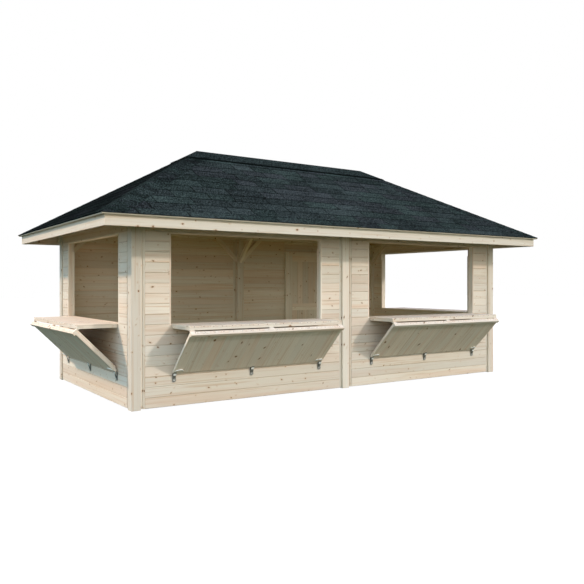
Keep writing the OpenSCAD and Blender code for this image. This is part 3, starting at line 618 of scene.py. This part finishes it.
for bay in FRONT_BAYS + END_BAYS:
    for x in (-OUTER_HASP, 0, OUTER_HASP):
        place = Matrix.Translation(HASP_FOOT + Vector((x, 0, 0))) @ Matrix.Rotation(hasp_lean, 4, "X")
        left, right = x - HASP_HALF, x + HASP_HALF
        strap = board((-HASP_HALF, -STRAP_PROUD, 0), (HASP_HALF, HASP_THICK, STRAP_LENGTH), 2, 0, HASP_EASE)
        straps.add(strap, bay, place)
        plate = board((left, WALL_FACE - HASP_THICK, HASP_FOOT.z), (right, WALL_FACE, PLATE_TOP), 2, 0, HASP_EASE)
        straps.add(plate, bay)
        lap = board((left, 0, FLAP_LENGTH - FLAP_LAP), (right, HASP_THICK, FLAP_LENGTH), 2, 0, HASP_EASE)
        straps.add(lap, bay, FLAP_PLANE)
        eye(eyes, 0.018, 0.0058, bay, place, eye_place)
        bolt(clasps, Vector((0, -0.001, EYE_UP)), bay, place)
        clasp = board((-CLASP_HALF, -CLASP_OUT, CLASP_LOW), (CLASP_HALF, -STRAP_PROUD, CLASP_TOP), 0, 2, 0.0010,
                      segments=2)
        clasps.add(clasp, bay, place)
straps.done(strap_steel_painted_shade, "zinc_steel", "stall", "hatch_hasps")
eyes.done(zinc_steel, "zinc_steel", "stall")
clasps.done(steel_painted_light, "zinc_steel", "stall")


def rounded(name, nodes, ease, body, material=zinc_steel):
    """Turned metal pieces: a copy of a node with soft edges and smooth round faces."""
    piece = Piece(name)
    for node in nodes:
        piece.add(from_frame(node, ease, 2, 40.0))
    for face in piece.bm.faces:
        face.smooth = True
    for edge in piece.bm.edges:
        edge.smooth = not edge.is_manifold or edge.calc_face_angle() < math.radians(32)
    piece.done(material, "zinc_steel", body, *nodes)


# the pull handles take the paler steel: painted reflection of the bright floor round them
rounded("hatch_pull_handles", ["hatch_handles"], 0.0008, "stall", steel_painted_light)
rounded("door_pins", ["door_hinge_pins"], 0.0008, "stall")
rounded("door_straps", ["door_strap_hinges"], 0.0010, "door")
rounded("door_levers", ["door_handles"], 0.0012, "door")

# the door frame with its stop, and the door of stiles, rails and upright boards
surround = Piece("door_frame_boards")
clear, head = DOOR_EDGE - DOOR_FRAME_BOARD, DOOR_FRAME_TOP - DOOR_FRAME_BOARD
sill = WALL_LOW + 0.030
for side in (-1, 1):
    for near, face, back in ((clear, 0, DOOR_SEAT), (clear - DOOR_STOP, DOOR_SEAT, DOOR_FRAME_DEPTH)):
        left, right = sorted((side * near, side * DOOR_EDGE))
        surround.add(board((left, face, WALL_LOW), (right, back, DOOR_FRAME_TOP), 2, 0, 0.002, segments=2), DOOR_BAY)
surround.add(board((-clear, 0, head), (clear, DOOR_SEAT, DOOR_FRAME_TOP), 0, 2, 0.002, segments=2), DOOR_BAY)
surround.add(board((-clear + DOOR_STOP, DOOR_SEAT, head - DOOR_STOP), (clear - DOOR_STOP, DOOR_FRAME_DEPTH, DOOR_FRAME_TOP),
                   0, 2, 0.002, segments=2), DOOR_BAY)
surround.add(board((-clear, 0, WALL_LOW), (clear, DOOR_SEAT, sill), 0, 1, 0.002, segments=2), DOOR_BAY)
surround.add(board((-clear + DOOR_STOP, DOOR_SEAT, WALL_LOW), (clear - DOOR_STOP, DOOR_FRAME_DEPTH, sill),
                   0, 1, 0.002, segments=2), DOOR_BAY)
surround.done(frame_wood, "frame_wood", "stall", "door_frame")

leaf = Piece("door_stiles_and_rails")
inner = LEAF_HALF - LEAF_RAIL
for left, right in ((-LEAF_HALF, -inner), (inner, LEAF_HALF)):
    leaf.add(board((left, 0, LEAF_LOW), (right, DOOR_THICK, LEAF_TOP), 2, 0, 0.003, segments=2), DOOR_BAY)
panels = ((LEAF_LOW + LEAF_LOW_RAIL, MID_RAIL_LOW), (MID_RAIL_TOP, LEAF_TOP - LEAF_RAIL))
for low, high in ((LEAF_LOW, panels[0][0]), (MID_RAIL_LOW, MID_RAIL_TOP), (panels[1][1], LEAF_TOP)):
    leaf.add(board((-inner, 0, low), (inner, DOOR_THICK, high), 0, 2, 0.003, segments=2), DOOR_BAY)
leaf.done(lining_wood, "frame_wood", "door", "door_leaf")

upright = Piece("door_upright_boards")
for low, high in panels:
    row_of_boards(upright, inner, (0.011, low), (0.029, high), 2, (DOOR_BAY,), 6, 0.0042, 0.75)
upright.done(wall_wood, "wall_boards", "door", "door_boards")


# the roof: x along an eave, y up the slope, z out of it
def slope(middle, turn):
    lay = Matrix.Rotation(math.radians(turn), 4, "Z") @ Matrix.Rotation(PITCH, 4, "X")
    return Matrix.Translation((middle[0], middle[1], EAVE)) @ lay


SLOPES = {
    "front": (slope((0, -ROOF_HALF_DEPTH), 0), ROOF_HALF_LENGTH),
    "right": (slope((ROOF_HALF_LENGTH, 0), 90), ROOF_HALF_DEPTH),
    "back": (slope((0, ROOF_HALF_DEPTH), 180), ROOF_HALF_LENGTH),
    "left": (slope((-ROOF_HALF_LENGTH, 0), -90), ROOF_HALF_DEPTH),
}
FALL = math.cos(PITCH)
SLOPE_LENGTH = ROOF_HALF_DEPTH / FALL


def trim_to_hips(bm, half, gap):
    for side in (-1, 1):
        trim(bm, Vector((side * (half - gap), 0, 0)), Vector((side, FALL, 0)))


for name, (lay, half) in SLOPES.items():
    deck = Piece("roof_deck_" + name)
    up = 0.0
    while up < SLOPE_LENGTH - 0.02:
        wide = half - up * FALL
        bm = board((-wide, up, -0.018), (wide, min(up + BOARD, SLOPE_LENGTH), -0.0004), 0, 1, 0.004, (up > 0, 1))
        trim_to_hips(bm, half, 0.001)
        deck.add(bm, lay)
        up += BOARD
    deck.done(deck_wood, "roof_boards", "stall", "roof_boards_" + name)

# lapped shingle tabs on a dark underlay, the first course shorter than the others, the end slopes darker as painted
# shade
COURSE, LAP, FIRST, FELT = 0.200, 0.030, 0.150, 0.0062
TAB_GAP, HIP_GAP, UNDERLAY = 0.006, 0.004, 0.003
# width, thickness, lift and drop of a dark strip under the foot of the ridge strip, a painted shadow
RIDGE_SHADOW_WIDE, RIDGE_SHADOW_THICK, RIDGE_SHADOW_LIFT, RIDGE_SHADOW_DROP = 0.035, 0.012, 0.010, 0.028
# painted shade: the tabs of the end slopes are darker, the left one most
SLOPE_SHADE = {"front": 0.0, "back": 0.0, "left": -2.2, "right": -1.2}
ALL_DARK = 2.0


def tab(wide, long, thick, slope_shade=0.0, edge=1.0):
    """One shingle tab from y = 0 up. The slope shade argument shifts its tone, as painted shade; edge paints shade
    along its lower edge, and above 1 darkens all of it.
    """
    bm = bmesh.new()
    middle = Matrix.Translation((0, long / 2, thick / 2))
    bmesh.ops.create_cube(bm, size=1.0, matrix=middle @ Matrix.Diagonal((wide, long, thick, 1)))
    edges = [e for e in bm.edges if min(v.co.z for v in e.verts) > thick / 2]
    bmesh.ops.bevel(bm, geom=edges, offset=0.0018, offset_type="OFFSET", segments=1, profile=0.5,
                    affect="EDGES", material=-1)
    grain_layer, tint_layer = layers(bm)
    shift, tone, hue = chance.uniform(0, 40), chance.random(), chance.random()
    for v in bm.verts:
        v[grain_layer] = (v.co.x + shift, v.co.y, v.co.x - wide / 2)
        v[tint_layer] = (tone + slope_shade, hue, edge * (v.co.y < 1e-5 or edge > 1))
    return bm


for name, (lay, half) in SLOPES.items():
    cover = Piece("shingle_courses_" + name)
    underlay = tab(2 * half, SLOPE_LENGTH, UNDERLAY, edge=ALL_DARK)
    trim_to_hips(underlay, half, HIP_GAP)
    cover.add(underlay, lay)
    courses = [(-0.005, FIRST)]
    while courses[-1][1] < SLOPE_LENGTH - 0.12:
        courses.append((courses[-1][1], courses[-1][1] + COURSE))
    for low, high in courses:
        end = half - low * FALL
        left = -end - chance.uniform(0, 0.4)
        while left < end:
            right = left + chance.choice((0.333, 0.333, 0.5, 0.5, 0.62)) + chance.uniform(-0.02, 0.02)
            long = high - low + LAP
            bm = tab(right - left - TAB_GAP, long, FELT, SLOPE_SHADE[name])
            tip = Matrix.Rotation(-FELT / (COURSE + LAP), 4, "X")
            bm.transform(Matrix.Translation(((left + right) / 2, low, FELT * 0.9)) @ tip)
            trim_to_hips(bm, half, HIP_GAP)
            if bm.faces:
                cover.add(bm, lay)
            left = right
    # a dark strip along the foot of the ridge strip: painted shadow cast by the ridge strip
    ridge_shadow_strip = tab(2 * half, RIDGE_SHADOW_WIDE, RIDGE_SHADOW_THICK, edge=ALL_DARK)
    ridge_shadow_low = SLOPE_LENGTH - RIDGE_REACH / FALL - RIDGE_SHADOW_DROP
    ridge_shadow_strip.transform(Matrix.Translation((0, ridge_shadow_low, RIDGE_SHADOW_LIFT)))
    trim_to_hips(ridge_shadow_strip, half, HIP_GAP)
    cover.add(ridge_shadow_strip, lay)
    cover.done(shingle_felt, "shingles", "stall", "shingles_" + name)


def cap_tile(hip_low, hip_run, wings, low, long, lift, thick):
    """One bent cap tile over a hip, its lower edge lifted over the tile below."""
    bm = bmesh.new()
    bmesh.ops.create_grid(bm, x_segments=2, y_segments=1, size=0.5)
    grain_layer, tint_layer = layers(bm)
    shift, tone, hue = chance.uniform(0, 40), chance.random() - 0.3, chance.random()
    for v in bm.verts:
        side, far = round(v.co.x * 2), v.co.y > 0
        v[grain_layer] = (shift + side * HIP_WIDTH, far * (long + 0.03), -1)
        v[tint_layer] = (tone, hue, 0)
        spot = hip_low + hip_run * (low + far * long) + Vector((0, 0, 0.0075 + (0 if far else lift)))
        if side:
            spot += wings[side] * HIP_WIDTH
        v.co = spot
    bmesh.ops.recalc_face_normals(bm, faces=bm.faces)
    if sum(f.normal.z for f in bm.faces) < 0:
        bmesh.ops.reverse_faces(bm, faces=bm.faces)
    bmesh.ops.solidify(bm, geom=bm.faces[:], thickness=-thick)
    bmesh.ops.recalc_face_normals(bm, faces=bm.faces)
    return bm


caps = Piece("hip_cap_tiles")
HIP_STEP = 0.152
for sx in (-1, 1):
    for sy in (-1, 1):
        corner = Vector((sx * ROOF_HALF_LENGTH, sy * ROOF_HALF_DEPTH, EAVE))
        rise = ROOF_HALF_DEPTH * math.tan(PITCH)
        run = Vector((-sx * ROOF_HALF_DEPTH, -sy * ROOF_HALF_DEPTH, rise))
        reach = run.length * (1 - (RIDGE_REACH - 0.03) / ROOF_HALF_DEPTH)
        run.normalize()
        long_normal = Vector((0, sy * math.sin(PITCH), FALL))
        end_normal = Vector((sx * math.sin(PITCH), 0, FALL))
        wings = {}
        for side, normal, inward in ((-1, long_normal, Vector((-sx, 0, 0))), (1, end_normal, Vector((0, -sy, 0)))):
            wing = run.cross(normal).normalized()
            wings[side] = wing if wing.dot(inward) > 0 else -wing
        low = -0.06
        while low < reach:
            bm = cap_tile(corner, run, wings, low, HIP_STEP + 0.025, 0.0030, 0.0035)
            trim(bm, Vector((0, sy * (ROOF_HALF_DEPTH + 0.003), 0)), Vector((0, sy, 0)))
            trim(bm, Vector((sx * (ROOF_HALF_LENGTH + 0.003), 0, 0)), Vector((sx, 0, 0)))
            caps.add(bm)
            low += HIP_STEP
caps.done(cap_felt, "shingles", "stall", "hip_caps")
from_node("ridge_cap_strips", ["ridge_cap"], 0.002, cap_felt, "shingles", segments=1)

# strength and tint of the light, source by source
LIGHT = {
    "long_side_lamp": (1.33, 1.24, 1.20),
    "end_lamp": (3.14, 2.50, 2.00),
    "sky_up": (0.66, 0.84, 1.46),
    "sky_left": (1.00, 1.43, 1.71),
    "sky_right": (0.62, 0.63, 0.57),
    "sky_front": (1.69, 1.68, 1.54),
    "sky_back": (0.76, 0.82, 0.91),
    "floor_outside": (0.054, 0.078, 0.042),
    "floor_inside": (0.119, 0.091, 0.003),
}

# the floor looks white to the camera and lends the pieces a little light from below
ground = Finish(bpy.data.materials.new("pale_floor"))
seen = ground.node("ShaderNodeLightPath", {}, {}, "Is Camera Ray")
place = ground.node("ShaderNodeTexCoord", {}, {}, "Object")
x, y = ground.node("ShaderNodeSeparateXYZ", {}, {"Vector": place}, "X", "Y")
within = ground.math("LESS_THAN", ground.math("ABSOLUTE", x), HALF_LENGTH - 0.1) * ground.math(
    "LESS_THAN", ground.math("ABSOLUTE", y), HALF_DEPTH - 0.1)
low_light = [ground.node("ShaderNodeEmission", {}, {"Color": (*LIGHT[part], 1), "Strength": 1.0}, "Emission")
             for part in ("floor_outside", "floor_inside")]
below = ground.node("ShaderNodeMixShader", {}, {"Fac": within, "Shader": low_light[0], "Shader_001": low_light[1]}, "Shader")
glow = ground.node("ShaderNodeEmission", {}, {"Color": (1, 1, 1, 1), "Strength": 0.94}, "Emission")
matt = ground.node("ShaderNodeBsdfDiffuse", {}, {"Color": (0.09, 0.09, 0.09, 1)}, "BSDF")
bright = ground.node("ShaderNodeAddShader", {}, {"Shader": glow, "Shader_001": matt}, "Shader")
both = ground.node("ShaderNodeMixShader", {}, {"Fac": seen, "Shader": below, "Shader_001": bright}, "Shader")
ground.node("ShaderNodeOutputMaterial", {}, {"Surface": both})
floor_mesh = bpy.data.meshes.new("floor")
bm = bmesh.new()
bmesh.ops.create_grid(bm, x_segments=1, y_segments=1, size=60)
bm.to_mesh(floor_mesh)
bm.free()
floor_mesh.materials.append(ground.owner)
floor = bpy.data.objects.new("floor", floor_mesh)
bpy.context.scene.collection.objects.link(floor)
floor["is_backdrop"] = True

# two lamps, one for the long side and one for the end, under a pale sky with its own tint to each side
for name, travel in (("long_side_lamp", (-0.29, 0.48, -0.33)), ("end_lamp", (1.0, -0.75, -1.17))):
    lamp = bpy.data.lights.new(name, "SUN")
    lamp.energy, lamp.angle, lamp.color = 1.0, math.radians(3.5), LIGHT[name]
    holder = bpy.data.objects.new(name, lamp)
    holder.rotation_euler = Vector(travel).to_track_quat("-Z", "Y").to_euler()
    bpy.context.scene.collection.objects.link(holder)

world = bpy.data.worlds.new("pale_sky")
bpy.context.scene.world = world
sky = Finish(world)
seen = sky.node("ShaderNodeLightPath", {}, {}, "Is Camera Ray")
towards = sky.node("ShaderNodeTexCoord", {}, {}, "Generated")
x, y, z = sky.node("ShaderNodeSeparateXYZ", {}, {"Vector": towards}, "X", "Y", "Z")
share = {"sky_up": z, "sky_left": 0 - x, "sky_right": x, "sky_front": 0 - y, "sky_back": y}
share = {part: sky.math("MAXIMUM", value) ** 2 for part, value in share.items()}
tint = [sum(weight * LIGHT[part][i] for part, weight in share.items()) for i in range(3)]
colour = sky.node("ShaderNodeCombineColor", {}, dict(zip(("Red", "Green", "Blue"), tint)), "Color")
pale = sky.node("ShaderNodeBackground", {}, {"Color": colour, "Strength": 1.0}, "Background")
white = sky.node("ShaderNodeBackground", {}, {"Color": (1, 1, 1, 1), "Strength": 1.0}, "Background")
both = sky.node("ShaderNodeMixShader", {}, {"Fac": seen, "Shader": pale, "Shader_001": white}, "Shader")
sky.node("ShaderNodeOutputWorld", {}, {"Surface": both})
bpy.context.scene.view_settings.view_transform = "Standard"

lens = bpy.data.cameras.new("camera")
lens.lens, lens.sensor_width, lens.shift_y = 40.72, 36.0, -0.01344
lens.clip_end = 200
camera = bpy.data.objects.new("camera", lens)
camera.location = (-5.7355, -8.8031, 1.4479)
camera.rotation_euler = (math.radians(90), 0, math.radians(-33.691))
bpy.context.scene.collection.objects.link(camera)
bpy.context.scene.camera = camera

low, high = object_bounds()
